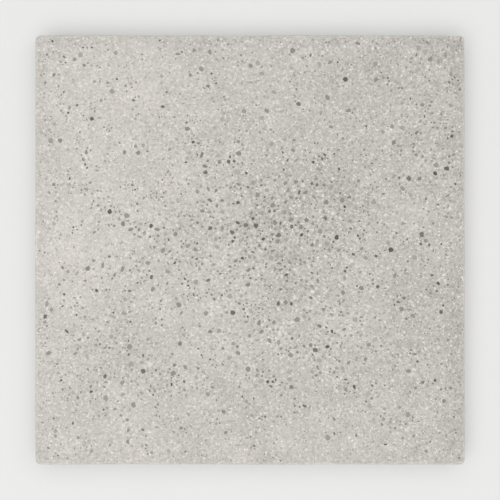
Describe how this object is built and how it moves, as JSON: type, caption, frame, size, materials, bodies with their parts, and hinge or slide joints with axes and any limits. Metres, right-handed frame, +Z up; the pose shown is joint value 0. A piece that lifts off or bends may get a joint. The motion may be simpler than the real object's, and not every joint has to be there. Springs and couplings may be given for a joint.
{
  "type": "concrete paving slab",
  "caption": "Square cast concrete paving slab with rounded corners, a small bevel around the walking face and a flat bedding face.",
  "frame": {"origin": "middle of the underside, level with the bed that the slab lies on", "axes": "+Z up, out of the walking face; +X and +Y square to two of the slab's edges"},
  "size_m": [0.4, 0.4, 0.04],
  "materials": {
    "concrete": "matte"
  },
  "bodies": {
    "root": {"slab": "concrete"}
  },
  "joints": []
}
